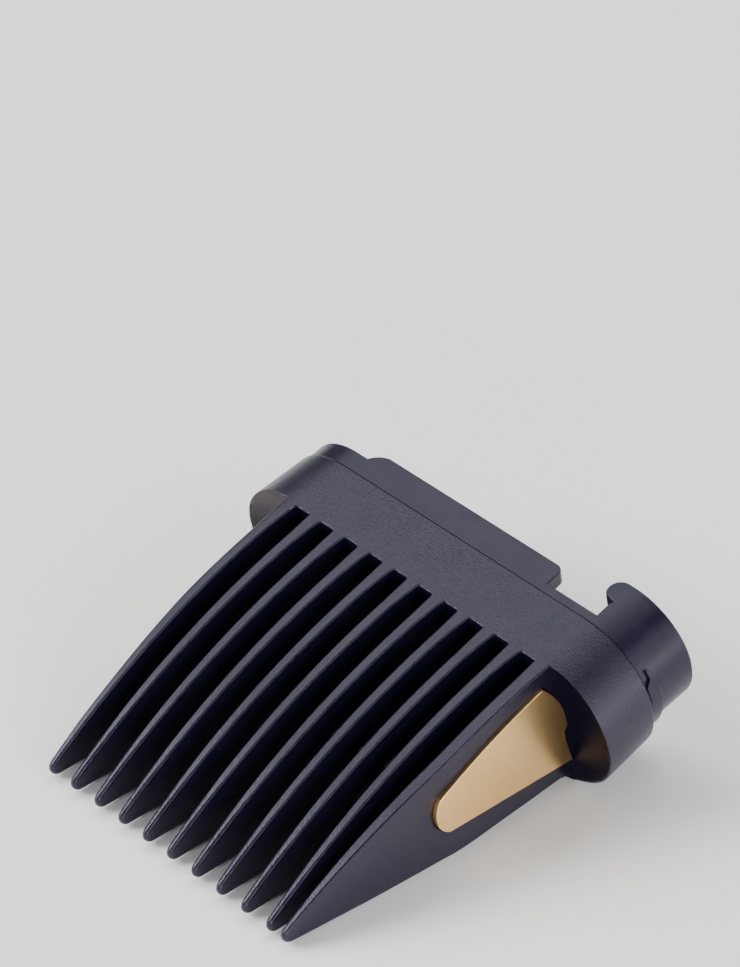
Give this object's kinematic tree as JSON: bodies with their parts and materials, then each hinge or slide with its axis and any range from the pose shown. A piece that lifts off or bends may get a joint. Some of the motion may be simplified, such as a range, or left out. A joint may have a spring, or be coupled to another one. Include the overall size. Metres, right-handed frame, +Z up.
{
  "type": "hair clipper attachment comb",
  "caption": "Wedge-shaped guide comb with long tapered teeth, an oval collar, a clip-on mounting sleeve and gold side inserts.",
  "frame": {"origin": "middle of the footprint, on the table the comb lies on", "axes": "+X across the teeth to the side with the tall clip, +Y from the tooth tips towards the sleeve, +Z up, with the comb lying nose-down on its tips and the collar's lower front edge"},
  "size_m": [0.051, 0.0496, 0.0191],
  "materials": {
    "comb_plastic": "moulded matte black nylon with a fine spark-eroded grain",
    "sleeve_plastic": "moulded black ABS with a satin mould finish, smoother than the comb's",
    "gold_insert": "satin champagne-gold metallised ABS"
  },
  "bodies": {
    "root": {"comb_body": "comb_plastic", "mounting_sleeve": "sleeve_plastic", "side_insert_right": "gold_insert", "side_insert_left": "gold_insert"}
  },
  "joints": []
}
